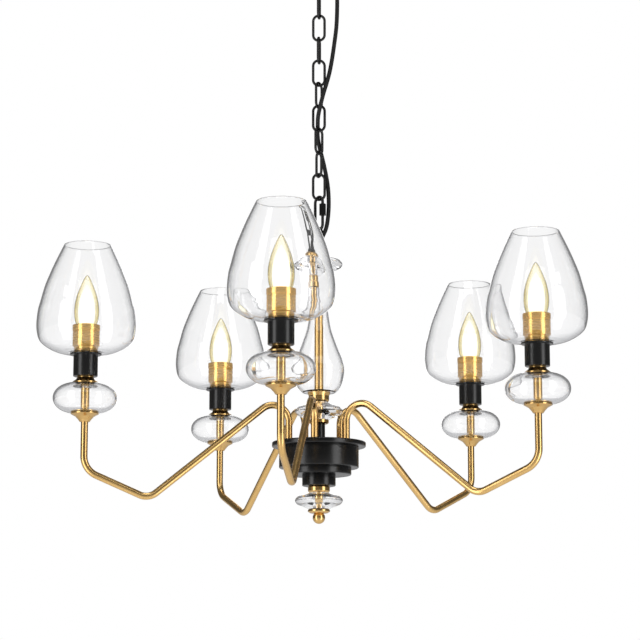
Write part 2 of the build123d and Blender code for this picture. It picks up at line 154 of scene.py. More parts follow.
def blown_section(line, wall, lip_steps=7):
    """A glass wall's closed section: the outer line, a half-round lip, the inner line, a lip. The inner line
    is the outer one plus the wall times its normal, the tangent (x, y) turned to (-y, x)."""
    tangent = unit(np.gradient(line, axis=0))
    inward = np.c_[-tangent[:, 1], tangent[:, 0]]
    turn = np.linspace(0, math.pi, lip_steps)[1:-1, None]

    def lip(i, side, ahead):
        """The half circle at end i, from the side it starts on, bulging ahead along the line or back."""
        middle = line[i] + inward[i] * wall / 2
        return middle + wall / 2 * (-side * inward[i] * np.cos(turn) + ahead * tangent[i] * np.sin(turn))

    inner = line + inward * wall
    return np.vstack([line, lip(-1, 1, 1), inner[::-1], lip(0, -1, -1)])


# %% [markdown]
# ## Surfaces
# A lathe carries a section round an upright axis, and a tube carries a circle along a path. Both give points
# and four-sided faces, which piece() makes into a mesh with its names, its body and its finish.

# %% Surface helpers
def grid_faces(rows, columns, rows_closed):
    """Quads of a grid whose columns always close on themselves, and whose rows may."""
    r = np.arange(rows if rows_closed else rows - 1)[:, None]
    c = np.arange(columns)[None, :]
    r2, c2 = (r + 1) % rows, (c + 1) % columns
    quads = np.stack([r * columns + c, r * columns + c2, r2 * columns + c2, r2 * columns + c], axis=-1)
    return quads.reshape(-1, 4)


def lathe(section, closed=True, turns=112, centre=CENTRE):
    """A (radius, height) section in millimetres carried round an upright axis:
    point = centre + (radius * cos(turn), radius * sin(turn), height)."""
    angle = np.arange(turns) * 2 * math.pi / turns
    radius, height = np.asarray(section, float).T[:, :, None] * MM
    upright = np.broadcast_to(height, (len(height), turns))
    ring = np.stack([radius * np.cos(angle), radius * np.sin(angle), upright], -1)
    return ring.reshape(-1, 3) + centre, grid_faces(len(radius), turns, closed)


def swept(path, radius, side, other, sides, closed=False):
    """Circles along a path: point = path + radius * (side * cos(turn) + other * sin(turn)). Open ends are
    closed by a circle of no size, which merges into a pole."""
    size = np.full(len(path), float(radius))
    if not closed:
        ends = [0, *range(len(path)), -1]
        path, side, other = path[ends], side[ends], other[ends]
        size = np.r_[0.0, size, 0.0]
    angle = np.arange(sides)[None, :, None] * 2 * math.pi / sides
    ring = side[:, None] * np.cos(angle) + other[:, None] * np.sin(angle)
    return (path[:, None] + size[:, None, None] * ring).reshape(-1, 3), grid_faces(len(path), sides, closed)


def tube(path, radius, flat, sides, closed=False):
    """A circle carried along a flat path. flat is the normal of the path's plane, so the circle at each point
    is spanned by flat and by flat's cross product with the line's direction."""
    if closed:
        tangent = unit(np.roll(path, -1, axis=0) - np.roll(path, 1, axis=0))
    else:
        tangent = unit(np.gradient(path, axis=0))
    side = unit(np.cross(flat, tangent))
    return swept(path, radius, side, np.broadcast_to(np.asarray(flat, float), path.shape), sides, closed)


def winding_tube(path, radius, sides=24):
    """A circle carried along a line in space. Each circle's first direction is the last one's, with what
    lies along the line taken out, so that the tube never twists."""
    tangent = unit(np.gradient(path, axis=0))
    side = np.zeros_like(path)
    side[0] = np.cross(tangent[0], (0, 1, 0))
    for i in range(1, len(path)):
        side[i] = side[i - 1] - tangent[i] * (side[i - 1] @ tangent[i])
        side[i] /= np.linalg.norm(side[i])
    side[0] /= np.linalg.norm(side[0])
    return swept(path, radius, side, np.cross(tangent, side), sides)


def joined(*parts):
    """Several (points, faces) pairs as one."""
    starts = np.cumsum([0] + [len(p) for p, _ in parts[:-1]])
    return np.vstack([p for p, _ in parts]), np.vstack([f + s for (_, f), s in zip(parts, starts)])


def outward(points, faces):
    """The faces, turned round if the closed surface's volume, summed over its faces, is negative."""
    a, b, c, d = (points[faces[:, i]] - points.mean(0) for i in range(4))
    volume = (np.cross(a, b) * c).sum() + (np.cross(a, c) * d).sum()
    return points, (faces if volume > 0 else faces[:, ::-1])


CREASE = math.radians(32)
SAME_POINT, NO_LENGTH = 1e-7, 1e-8      # metres


def piece(name, surface, body, nodes, finish):
    """Makes the mesh of one piece from its surface, merges its poles, keeps its creases sharp, gives it its
    finish, puts it on its body and hides the nodes that it stands for. The cable has no body here."""
    points, faces = surface
    mesh = bpy.data.meshes.new(name)
    mesh.from_pydata(points.tolist(), [], faces.tolist())
    work = bmesh.new()
    work.from_mesh(mesh)
    bmesh.ops.remove_doubles(work, verts=work.verts, dist=SAME_POINT)
    bmesh.ops.dissolve_degenerate(work, edges=work.edges, dist=NO_LENGTH)
    work.to_mesh(mesh)
    work.free()
    mesh.materials.append(finish)
    mesh.polygons.foreach_set("use_smooth", np.ones(len(mesh.polygons), bool))
    mesh.set_sharp_from_angle(angle=CREASE)
    made = bpy.data.objects.new(name, mesh)
    bpy.context.collection.objects.link(made)
    if body:
        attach(made, body)
    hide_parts(*nodes)
    print(name, "has", len(mesh.polygons), "faces")
    return made


def turned(corners, radius, centre=CENTRE, turns=96):
    """A turned solid: its closed (radius, height) outline, with each corner rounded by the radius, on the
    lathe."""
    return outward(*lathe(round_corners(corners, radius, 5, closed=True), True, turns, centre))


def blown(line, wall, centre=CENTRE, turns=112):
    """A blown shape: the closed section of its wall, inside its outer line, on the lathe."""
    return outward(*lathe(blown_section(np.asarray(line, float), wall), True, turns, centre))


def on_every_arm(make):
    """make(centre) at each lamp's axis, as one surface."""
    return joined(*[make(arm_point(i)) for i in range(ARMS)])


# %% [markdown]
# ## Finishes
# Shader maths reads as plain sums here: a small class wraps one output of the node tree, and + - * add Math
# nodes. Finish.node makes any other node, its settings first and then its sockets.

# %% Shader helpers
class Value:
    """One output of a finish's node tree."""

    def __init__(self, finish, output):
        self.finish, self.output = finish, output

    def maths(self, operation, a, b):
        """A Math node on two values or numbers."""
        return self.finish.node("ShaderNodeMath", {"operation": operation}, {0: a, 1: b})

    def __add__(self, other):
        return self.maths("ADD", self, other)

    def __sub__(self, other):
        return self.maths("SUBTRACT", self, other)

    def __rsub__(self, other):
        return self.maths("SUBTRACT", other, self)

    def __mul__(self, other):
        return self.maths("MULTIPLY", self, other)

    __radd__ = __add__


class Finish:
    """A material, or a world, with an empty tree; done() puts a Principled shader on its output."""

    def __init__(self, name, holder=None):
        self.holder = holder or bpy.data.materials.new(name)
        self.holder.use_nodes = True
        self.tree = self.holder.node_tree
        self.tree.nodes.clear()

    def node(self, kind, settings=None, inputs=None, output=0):
        """A new node, with each input linked to a Value or set to a constant, as one of its outputs."""
        made = self.tree.nodes.new(kind)
        for key, value in (settings or {}).items():
            setattr(made, key, value)
        for key, value in (inputs or {}).items():
            if isinstance(value, Value):
                self.tree.links.new(value.output, made.inputs[key])
            else:
                made.inputs[key].default_value = value
        return Value(self, made.outputs[output])

    def mixed(self, factor, a, b):
        """Colour a at factor 0 and colour b at factor 1. The Mix node's colour sockets are 6 and 7."""
        colour = {k: (v if isinstance(v, Value) else (*v, 1.0)) for k, v in ((6, a), (7, b))}
        return self.node("ShaderNodeMix", {"data_type": "RGBA"}, {0: factor, **colour}, output=2)

    def place(self):
        """The place on the piece, in its own metres."""
        return self.node("ShaderNodeTexCoord", output=3)

    def noise(self, scale, stretch=(1, 1, 1), detail=3.0):
        """Smooth noise of the place, with stretch times the scale along each axis."""
        moved = self.node("ShaderNodeMapping", {}, {"Vector": self.place(), "Scale": stretch})
        return self.node("ShaderNodeTexNoise", {}, {"Vector": moved, "Scale": scale, "Detail": detail})

    def bump(self, height, strength, distance):
        """A normal that is tilted as if the height stood out by the distance in metres."""
        return self.node("ShaderNodeBump", {}, {"Height": height, "Strength": strength, "Distance": distance})

    def clamped(self, value):
        """The value, kept between 0 and 1."""
        return self.node("ShaderNodeClamp", {}, {"Value": value})

    def done(self, **sockets):
        """The finished material: a Principled shader with these sockets, whose spaces are written as _."""
        named = {key.replace("_", " "): value for key, value in sockets.items()}
        self.node_out(self.node("ShaderNodeBsdfPrincipled", {}, named))
        print("finish", self.holder.name)
        return self.holder

    def node_out(self, shader, kind="ShaderNodeOutputMaterial"):
        """Puts a shader on the tree's output."""
        made = self.tree.nodes.new(kind)
        self.tree.links.new(shader.output, made.inputs["Surface"])


# %% [markdown]
# ### Aged brass
# Brass that is brushed and then darkened. The brushing is noise that is stretched round the piece, so that
# only the height changes it quickly. It moves the roughness and a fine bump; slow noise darkens patches.

# %% Brass finishes
PATINA_SCALE, PATINA_SHARE = 22.0, 0.8
BRUSH_ROUGHNESS, BRUSH_DEPTH = 0.18, 0.0003


def brass(name, light, dark, rough, lines=(6, 6, 900), relief=0.12):
    """Colour from dark to light by patina and brushing; roughness = rough + (brushing - 0.5) * its range.
    lines is how fast the brushing changes along each axis, and relief is the strength of its bump."""
    made = Finish(name)
    patina = made.noise(PATINA_SCALE)
    brushing = made.noise(1.0, lines, 2.0)
    colour = made.mixed(patina * PATINA_SHARE + brushing * (1 - PATINA_SHARE), dark, light)
    return made.done(Base_Color=colour, Metallic=1.0, Roughness=rough + (brushing - 0.5) * BRUSH_ROUGHNESS,
                     Normal=made.bump(brushing, relief, BRUSH_DEPTH))


aged_brass = brass("aged_brass", (0.76, 0.52, 0.22), (0.50, 0.29, 0.09), 0.21)
tube_brass = brass("brushed_tube_brass", (0.78, 0.53, 0.22), (0.58, 0.35, 0.12), 0.25, (60, 60, 60), 0.01)
# Brass of the shade rings, painted brighter and more amber than aged brass: painted glow from the bulb above
# it.
ring_brass_painted_glow = brass("ring_brass_with_painted_glow", (0.95, 0.62, 0.22), (0.72, 0.38, 0.08), 0.26)


# %% [markdown]
# ### Satin black
# Black paint over metal: almost no colour of its own, a broad soft gloss, and a faint orange-peel bump.

# %% Black finishes
GRAIN_SCALE, GRAIN_DEPTH = 900.0, 0.0002
WEAR_SCALE, WEAR_ROUGHNESS, WEAR_LEAST, WEAR_MOST = 30.0, 0.12, 0.7, 1.4


def black(name, shade, rough, bump, gloss=0.5):
    """A grey of the shade, times a wear that runs from its least to its most; the wear moves the roughness
    too, and the grain is a fine bump of the given strength."""
    made = Finish(name)
    grain = made.noise(GRAIN_SCALE)
    wear = made.noise(WEAR_SCALE)
    colour = made.mixed(wear, (shade * WEAR_LEAST,) * 3, (shade * WEAR_MOST,) * 3)
    return made.done(Base_Color=colour, Roughness=rough + (wear - 0.5) * WEAR_ROUGHNESS,
                     Specular_IOR_Level=gloss, Normal=made.bump(grain, bump, GRAIN_DEPTH))


satin_black = black("satin_black", 0.002, 0.25, 0.05, 0.42)
chain_black = black("chain_black", 0.002, 0.26, 0.05, 0.4)
cable_black = black("black_cable", 0.004, 0.55, 0.12, 0.3)
plastic_black = black("black_plastic", 0.02, 0.45, 0.08)


# %% [markdown]
# ### Clear glass
# Real walls with a refracting shader. A very slow bump gives the slight waviness of blown glass, and the
# colour is a hair off white, unevenly, as thick glass is. Towards the silhouette it is painted darker, as
# shade.

# %% Glass finishes
WAVE_SCALE, WAVE_DEPTH, GLASS_IOR = 14.0, 0.002, 1.45


def glass(name, tint, painted_edge_shade, wave, first=0.30, last=0.95):
    """Clear glass. Towards the silhouette, where the surface turns away, the colour is painted darker:
    painted shade that stands in for the grey of what the glass reflects there. The share of that painted
    colour is how far the surface is turned away, from first to last. wave is the strength of the slow bump."""
    made = Finish(name)
    slow = made.noise(WAVE_SCALE, detail=1.0)
    facing = made.node("ShaderNodeLayerWeight", {}, {"Blend": 0.5}, output=1)
    share = made.node("ShaderNodeMapRange", {"interpolation_type": "SMOOTHSTEP"},
                      {"Value": facing, "From Min": first, "From Max": last})
    body = made.mixed(slow, tint, tuple(0.5 + 0.5 * c for c in tint))
    # Towards the silhouette the colour turns to the painted shade.
    return made.done(Base_Color=made.mixed(share, body, painted_edge_shade), Transmission_Weight=1.0, IOR=GLASS_IOR,
                     Roughness=0.0, Normal=made.bump(slow, wave, WAVE_DEPTH))


# The second colour of each is painted at the silhouette: grey painted shade on clear and solid glass, and
# painted amber glow on the bulb.
clear_glass = glass("clear_glass", (0.99, 0.99, 0.992), (0.72, 0.73, 0.75), 0.05, 0.45, 1.0)
disc_glass = glass("clear_solid_glass", (0.985, 0.986, 0.99), (0.85, 0.86, 0.88), 0.02, 0.5, 1.0)
bulb_glass = glass("bulb_glass", (1.0, 0.985, 0.88), (0.97, 0.82, 0.36), 0.02, 0.05, 0.8)


# %% [markdown]
# ### The lit core of a bulb
# Filaments this bright flood the bulb, so the light is one soft flame-shaped body. Its colour runs from
# amber at the cap to almost white at its middle and pale yellow at the tip.

# %% Glow
CORE_LOW_H, CORE_HIGH_H = 110.0, 181.0
AMBER, NEAR_WHITE, PALE_YELLOW = (1.0, 0.70, 0.24), (1.0, 0.97, 0.86), (1.0, 0.92, 0.62)
FOOT_SPEED = 3.5        # how many times faster the amber gives way than the height grows
GLOW_STRENGTH = 1.7


def glow(name, low, high):
    """Light whose colour follows the part of the height from low to high that has been climbed."""
    made = Finish(name)
    height = made.node("ShaderNodeSeparateXYZ", {}, {"Vector": made.place()}, output=2)
    part = made.node("ShaderNodeMapRange", {}, {"Value": height, "From Min": low, "From Max": high})
    foot = made.mixed(part * FOOT_SPEED, AMBER, NEAR_WHITE)
    whole = made.mixed(part, foot, PALE_YELLOW)
    return made.done(Base_Color=(0.0, 0.0, 0.0, 1.0), Emission_Color=whole, Emission_Strength=GLOW_STRENGTH,
                     Roughness=0.5)


bulb_glow = glow("bulb_glow", lamp_level + CORE_LOW_H * MM, lamp_level + CORE_HIGH_H * MM)


# %% [markdown]
# ### Steel, plastic and insulation
# These are inside the fittings or hardly seen: one colour, with a noise that darkens it a little and moves
# the roughness.

# %% Plain finishes
SPECK_SCALE, SPECK_DARK, SPECK_ROUGHNESS = 160.0, 0.85, 0.1


def plain(name, colour, rough, metal=0.0):
    """One colour, from its darker share to the whole by the noise; roughness = rough + (noise - 0.5) * its
    range."""
    made = Finish(name)
    speck = made.noise(SPECK_SCALE)
    return made.done(Base_Color=made.mixed(speck, tuple(c * SPECK_DARK for c in colour), colour),
                     Metallic=metal, Roughness=rough + (speck - 0.5) * SPECK_ROUGHNESS)


plated_steel = plain("plated_steel", (0.62, 0.62, 0.64), 0.32, 1.0)
white_plastic = plain("white_plastic", (0.85, 0.85, 0.83), 0.45)
holder_plastic = plain("holder_plastic", (0.05, 0.045, 0.04), 0.5)
wire_insulation = plain("wire_insulation", (0.5, 0.5, 0.5), 0.35)


# %% [markdown]
# ## Cable
# One black cable feeds the lamps. It leaves the ceiling fitting beside the chain, hangs straight at first and
# then winds loosely through the links down to the stem. A smooth NURBS line with listed control points is
# the natural way to draw it, because a cable has no corners. It is in two lengths, which meet inside the top
# link.

# %% Cable
CABLE_R = 3.0
TOP_LENGTH, DROP_LENGTH = 59.0, 377.1
TOP_BEND, DROP_BEND = (-0.046, -0.066), (-0.080, -0.100)    # from the upper body's height to the lower's, m
CABLE_TOP = [(27.0, 0.0, 666.0), (27.0, 0.0, 637.0), (27.0, 0.0, 607.0)]
CABLE_DROP = [(27.0, 0.0, 607.0), (26.6, 0.2, 579.0), (23.0, 0.2, 551.0), (19.8, -0.6, 527.0),
              (16.6, -2.4, 507.0), (13.0, -6.0, 490.0), (8.6, -9.2, 474.0), (5.4, -9.8, 461.0),
              (2.0, -7.6, 449.0), (-1.4, -1.4, 438.0), (-2.4, 5.0, 427.0), (-3.6, 9.6, 414.0),
              (-1.8, 12.8, 400.0), (2.0, 13.8, 385.0), (5.8, 12.8, 369.0), (9.2, 11.2, 353.0),
              (11.9, 9.2, 337.0), (13.4, 6.2, 320.0), (13.8, 3.2, 303.0), (13.0, 0.2, 287.0),
              (11.2, -3.0, 273.0), (6.6, -4.8, 262.0), (1.6, -1.8, 253.5), (0.0, 0.0, 244.0)]


def spline_line(name, route):
    """Points along the NURBS line whose control points are the route, in metres."""
    curve = bpy.data.curves.new(name, "CURVE")
    curve.dimensions, curve.resolution_u = "3D", 12
    spline = curve.splines.new("NURBS")
    spline.points.add(len(route) - 1)
    spots = np.c_[np.array(route) * MM + CENTRE, np.ones(len(route))]
    spline.points.foreach_set("co", spots.ravel())
    spline.order_u, spline.use_endpoint_u = 3, True
    holder = bpy.data.objects.new(name, curve)
    line = bpy.data.meshes.new_from_object(holder)
    points = np.array([v.co for v in line.vertices])
    bpy.data.objects.remove(holder)
    bpy.data.meshes.remove(line)
    return points


def cable(name, node, route, length, bodies, bend_from, bend_to):
    """One length of cable along its route, as one piece with no body; its length is printed."""
    path = spline_line(name, route)
    made = piece(name, outward(*winding_tube(path, CABLE_R * MM)), None, [node], cable_black)
    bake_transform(made)
    print(name, "length", round(float(np.linalg.norm(np.diff(path, axis=0), axis=1).sum()), 4))


cable("cable_top_cord", "cable_top", CABLE_TOP, TOP_LENGTH, ("ceiling_fitting", "top_link"), *TOP_BEND)
cable("cable_drop_cord", "cable_drop", CABLE_DROP, DROP_LENGTH, ("top_link", "chandelier"), *DROP_BEND)


# %% [markdown]
# ## Chain
# Steel wire bent into ovals: a circle of wire carried round two straight sides and two half circles. Each
# link hangs turned on the one above it.

# %% Links
LINK_WIRE_R, LINK_HALF_WIDTH, PITCH, CHAIN_FOOT_H, LINK_PLAY = 1.9, 8.35, 34.0, 318.0, 0.1
LINK_TURNS = [15.0, 123.0, 63.0, 5.0, 69.0, 12.0, 89.0, 0.0]      # degrees about the stem, from the foot
TOP_LINK_TURN = 90.0


def arc(centre_h, radius, start, end, steps=20):
    """Part of a circle round the axis at a height: (across, height) = (0, centre_h) + radius * (cos, sin) of
    each turn, from start to end in degrees."""
    turn = np.radians(np.linspace(start, end, steps))
    return np.c_[radius * np.cos(turn), centre_h + radius * np.sin(turn)]


def oval(half_width, low, high):
    """The centre line of a link in its own plane: a half circle over and one under two straight sides."""
    over = arc(high - half_width, half_width, 0, 180)
    under = arc(low + half_width, half_width, 180, 360)
    along = np.linspace(0.1, 0.9, 6)[:, None]     # the parts of a straight side where it has points
    return np.vstack([over, over[-1] + (under[0] - over[-1]) * along, under,
                      under[-1] + (over[0] - under[-1]) * along])


def stood(flat_line, turn):
    """A line in (across, height) stood on the centre line and turned about it, and its plane's normal."""
    angle = math.radians(turn)
    across = np.array([math.cos(angle), math.sin(angle), 0.0])
    line = CENTRE + MM * (flat_line[:, :1] * across + flat_line[:, 1:] * np.array([0.0, 0.0, 1.0]))
    return line, np.array([-math.sin(angle), math.cos(angle), 0.0])


def link(foot_h, turn):
    """A chain link whose lower contact is at foot_h. Its wire's centre is past both contacts by the wire's
    radius and half the play."""
    reach = LINK_WIRE_R + LINK_PLAY / 2
    line, flat = stood(oval(LINK_HALF_WIDTH, foot_h - reach, foot_h + PITCH + reach), turn)
    return outward(*tube(line, LINK_WIRE_R * MM, flat, 20, closed=True))


links = joined(*[link(CHAIN_FOOT_H + i * PITCH, turn) for i, turn in enumerate(LINK_TURNS)])
piece("chain_links_wire", links, "chandelier", ["chain_links"], chain_black)
piece("top_link_wire", link(CHAIN_FOOT_H + len(LINK_TURNS) * PITCH, TOP_LINK_TURN), "top_link", ["top_link"],
      chain_black)


# %% [markdown]
# ### Quick link and stem eye
# At the foot a quick link, an oval with a gap that a nut closes, holds the eye on top of the stem: a bow of
# wire on a small turned foot.

# %% Quick link
QUICK_WIRE_R, QUICK_HALF_WIDTH, QUICK_TURN, QUICK_FOOT_H = 2.1, 8.5, -43.0, 273.0
QUICK_GAP_H, QUICK_GAP = 303.0, 5.0
quick_reach = QUICK_WIRE_R + LINK_PLAY / 2
quick_low, quick_high = QUICK_FOOT_H - quick_reach, CHAIN_FOOT_H + quick_reach
gap_low, gap_high = QUICK_GAP_H - QUICK_GAP / 2, QUICK_GAP_H + QUICK_GAP / 2
over = arc(quick_high - QUICK_HALF_WIDTH, QUICK_HALF_WIDTH, 0, 180)
under = arc(quick_low + QUICK_HALF_WIDTH, QUICK_HALF_WIDTH, 180, 360)
quick_line, quick_flat = stood(np.vstack([[(QUICK_HALF_WIDTH, gap_high)], over, under,
                                          [(QUICK_HALF_WIDTH, gap_low)]]), QUICK_TURN)
piece("quick_link_wire", outward(*tube(quick_line, QUICK_WIRE_R * MM, quick_flat, 20)), "chandelier",
      ["quick_link"], chain_black)

# %% Stem eye
EYE_WIRE_R, EYE_HALF_WIDTH, EYE_TURN = 1.7, 5.6, 47.0
EYE_FOOT_R, EYE_BORE_R, EYE_FOOT_TOP_H, EYE_BORE_FOOT_H = 8.4, 3.7, 246.0, 242.0
STEM_CAP_TOP_H = 241.0
EYE_LEG_H = STEM_CAP_TOP_H + 2      # the bow's ends are sunk in the foot
eye_spring = QUICK_FOOT_H + EYE_WIRE_R - EYE_HALF_WIDTH
eye_line, eye_flat = stood(np.vstack([[(EYE_HALF_WIDTH, EYE_LEG_H)],
                                      arc(eye_spring, EYE_HALF_WIDTH, 0, 180),
                                      [(-EYE_HALF_WIDTH, EYE_LEG_H)]]), EYE_TURN)
eye_foot = turned([(EYE_BORE_R, STEM_CAP_TOP_H), (EYE_FOOT_R, STEM_CAP_TOP_H), (EYE_FOOT_R, 244.0),
                   (EYE_FOOT_R - 1.2, EYE_FOOT_TOP_H), (EYE_BORE_R + 0.8, EYE_FOOT_TOP_H),
                   (EYE_BORE_R, EYE_BORE_FOOT_H)], 0.5)
eye_bow = outward(*tube(eye_line, EYE_WIRE_R * MM, eye_flat, 20))
piece("stem_eye_ring", joined(eye_bow, eye_foot), "chandelier", ["stem_eye"], chain_black)


# %% [markdown]
# ### Loop under the canopy
# The top link hangs from a ring of brass wire, whose top is sunk in a round collar on the ceiling fitting.

# %% Canopy loop
HANGER_R, HANGER_WIRE_R, HANGER_STEPS = 8.5, 2.0, 49
COLLAR_R, COLLAR_BORE_R, COLLAR_LOW_H, COLLAR_HIGH_H, COLLAR_CHAMFER = 13.0, 5.05, 639.5, 657.0, 1.5
hanger_h = CHAIN_FOOT_H + (len(LINK_TURNS) + 1) * PITCH - HANGER_WIRE_R + HANGER_R
hanger_line, hanger_flat = stood(arc(hanger_h, HANGER_R, 0, 360, HANGER_STEPS)[:-1], 0.0)
hanger = outward(*tube(hanger_line, HANGER_WIRE_R * MM, hanger_flat, 24, closed=True))
hanger_collar = turned([(COLLAR_BORE_R, COLLAR_LOW_H), (COLLAR_R - COLLAR_CHAMFER, COLLAR_LOW_H),
                        (COLLAR_R, COLLAR_LOW_H + COLLAR_CHAMFER), (COLLAR_R, COLLAR_HIGH_H),
                        (COLLAR_BORE_R, COLLAR_HIGH_H)], 0.5)
piece("canopy_loop_ring", joined(hanger, hanger_collar), "ceiling_fitting", ["canopy_loop"],
      aged_brass)


# %% [markdown]
# ## Centre column
# A brass tube carries glass and metal beads, threaded on it like a necklace: a solid glass disc, a hollow
# blown vase, another disc and short collars. All of it was made by turning or blowing, so a lathe outline
# with softened corners is the whole of each shape.

# %% Outlines of the column
STEM_R, STEM_BORE_R, SLEEVE_R = 6.35, 4.6, 6.4      # outside, bore, and the bore of what is threaded on it
STEM_LOW_H, STEM_HIGH_H = -40.0, 236.0
CAP_BORE_R, CAP_R, CAP_SHOULDER_H = 4.7, 15.0, 236.1
UPPER_DISC_LOW_H, UPPER_DISC_WIDE_H, UPPER_DISC_HIGH_H = 206.0, 221.0, 233.0
UPPER_COLLAR_LOW_H = 187.0
VASE_LOW_H = 36.0
LOWER_DISC_LOW_H, LOWER_DISC_WIDE_H, LOWER_DISC_HIGH_H = -3.0, 9.0, 22.0
DISC_COLLAR_LOW_H, HUB_TOP_H = -9.0, -35.0
BLACK_SLEEVE_R = 8.7
GLASS_BORE_R, DISC_R, DISC_SHOULDER_R, DISC_EDGE_R, DISC_EDGE_H = 6.7, 35.0, 14.0, 30.5, 5.5
DISC_CORNERS = [0.5, 3.0, 4.0, 6.0, 4.0, 3.0, 0.5]
VASE_WALL = 2.6
VASE_LINE = [(6.9, VASE_LOW_H), (13.0, VASE_LOW_H), (20.0, VASE_LOW_H), (24.0, 36.4), (31.5, 46.0),
             (36.0, 66.0), (33.4, 82.0), (27.6, 97.0), (22.0, 112.0), (17.4, 126.0), (14.6, 141.0),
             (12.4, 158.0), (11.2, 173.0), (11.4, 185.5)]
STEM_CAP_LINE = [(CAP_BORE_R, CAP_SHOULDER_H), (SLEEVE_R, CAP_SHOULDER_H), (SLEEVE_R, UPPER_DISC_HIGH_H),
                 (CAP_R, UPPER_DISC_HIGH_H), (14.0, 237.5), (11.0, 240.0), (9.0, STEM_CAP_TOP_H),
                 (CAP_BORE_R, STEM_CAP_TOP_H)]
UPPER_COLLAR_LINE = [(SLEEVE_R, UPPER_COLLAR_LOW_H), (9.0, UPPER_COLLAR_LOW_H), (10.5, 189.0), (10.5, 196.0),
                     (9.0, 198.0), (9.0, UPPER_DISC_LOW_H), (SLEEVE_R, UPPER_DISC_LOW_H)]
VASE_COLLAR_LINE = [(SLEEVE_R, LOWER_DISC_HIGH_H), (13.0, LOWER_DISC_HIGH_H), (14.5, 25.0), (14.5, 31.0),
                    (16.5, VASE_LOW_H), (SLEEVE_R, VASE_LOW_H)]
DISC_COLLAR_LINE = [(SLEEVE_R, DISC_COLLAR_LOW_H), (12.0, DISC_COLLAR_LOW_H), (14.0, -7.5),
                    (14.0, LOWER_DISC_LOW_H), (SLEEVE_R, LOWER_DISC_LOW_H)]


def disc(low, high, widest):
    """A thick lens with a hole: two cones between flat faces and a blunt rim."""
    return turned([(GLASS_BORE_R, low), (DISC_SHOULDER_R, low), (DISC_EDGE_R, widest - DISC_EDGE_H),
                   (DISC_R, widest), (DISC_EDGE_R, widest + DISC_EDGE_H), (DISC_SHOULDER_R, high),
                   (GLASS_BORE_R, high)], DISC_CORNERS)


def pipe(bore, radius, low, high):
    """The closed outline of a plain tube's wall."""
    return [(bore, low), (radius, low), (radius, high), (bore, high)]


def chandelier_piece(name, surface, node, finish):
    """A piece that rides on the chandelier's own body and stands for one node."""
    piece(name, surface, "chandelier", [node], finish)


def brass_piece(name, surface, node):
    """A chandelier piece in aged brass."""
    chandelier_piece(name, surface, node, aged_brass)


def black_piece(name, surface, node):
    """A chandelier piece in satin black."""
    chandelier_piece(name, surface, node, satin_black)


# %% Column, from the top except for the stem
brass_piece("stem_brass_tube", turned(pipe(STEM_BORE_R, STEM_R, STEM_LOW_H, STEM_HIGH_H), 0.3), "stem_tube")
brass_piece("stem_brass_cap", turned(STEM_CAP_LINE, 0.5), "stem_cap")
chandelier_piece("upper_disc_glass", disc(UPPER_DISC_LOW_H, UPPER_DISC_HIGH_H, UPPER_DISC_WIDE_H),
                 "upper_glass_disc", disc_glass)
brass_piece("upper_collar_brass", turned(UPPER_COLLAR_LINE, 0.5), "upper_collar")
chandelier_piece("vase_glass", blown(flowing(VASE_LINE), VASE_WALL), "glass_vase", clear_glass)
brass_piece("vase_collar_brass", turned(VASE_COLLAR_LINE, 0.5), "vase_collar")
chandelier_piece("lower_disc_glass", disc(LOWER_DISC_LOW_H, LOWER_DISC_HIGH_H, LOWER_DISC_WIDE_H),
                 "lower_glass_disc", disc_glass)
brass_piece("disc_collar_brass", turned(DISC_COLLAR_LINE, 0.4), "disc_collar")
black_piece("black_stem_sleeve", turned(pipe(SLEEVE_R, BLACK_SLEEVE_R, HUB_TOP_H, DISC_COLLAR_LOW_H), 0.4),
            "black_stem")


# %% [markdown]
# ## Hub
# The wiring box: a thick plate, and three open pans below it that get smaller downwards. Each pan is a thin
# wall, so its outline goes up the outside and comes back down the inside.

# %% Hub
PLATE_R, PLATE_LOW_H = 66.3, -42.0
DRUM_R, DRUM_LOW_H = 56.2, -71.5
STEP_R, STEP_LOW_H = 45.7, -81.4
HUB_CUP_R, HUB_CUP_LOW_H = 23.6, -97.0
PAN_HOLE_R, PAN_WALL = 4.55, 1.6
ROD_BORE_R, ROD_R, ROD_LOW_H, ROD_HIGH_H = 3.0, 4.5, -133.0, -30.0
HUB_TURNS = 144


def pan(radius, low, high):
    """An open pan: the outline goes up its outside and comes back down its inside, to a hole in its floor."""
    inside = radius - PAN_WALL
    return turned([(PAN_HOLE_R, low), (radius, low), (radius, high), (inside, high), (inside, low + PAN_WALL),
                   (PAN_HOLE_R, low + PAN_WALL)], [0.3, 1.4, 0.3, 0.3, 0.8, 0.3], turns=HUB_TURNS)


black_piece("hub_plate_black", turned(pipe(SLEEVE_R, PLATE_R, PLATE_LOW_H, HUB_TOP_H), [0.3, 1.6, 1.6, 0.3],
                                      turns=HUB_TURNS), "hub_plate")
black_piece("hub_drum_black", pan(DRUM_R, DRUM_LOW_H, PLATE_LOW_H), "hub_drum")
black_piece("hub_step_black", pan(STEP_R, STEP_LOW_H, DRUM_LOW_H), "hub_step")
black_piece("hub_cup_black", pan(HUB_CUP_R, HUB_CUP_LOW_H, STEP_LOW_H), "hub_cup")
chandelier_piece("centre_rod_steel", turned(pipe(ROD_BORE_R, ROD_R, ROD_LOW_H, ROD_HIGH_H), 0.2),
                 "centre_rod", plated_steel)


# %% [markdown]
# ## Finial
# One more glass disc hangs under the hub on a short tube, held up by a turned collar that ends in a ball.
# The ball and the collar are one outline that runs from the axis to the axis.

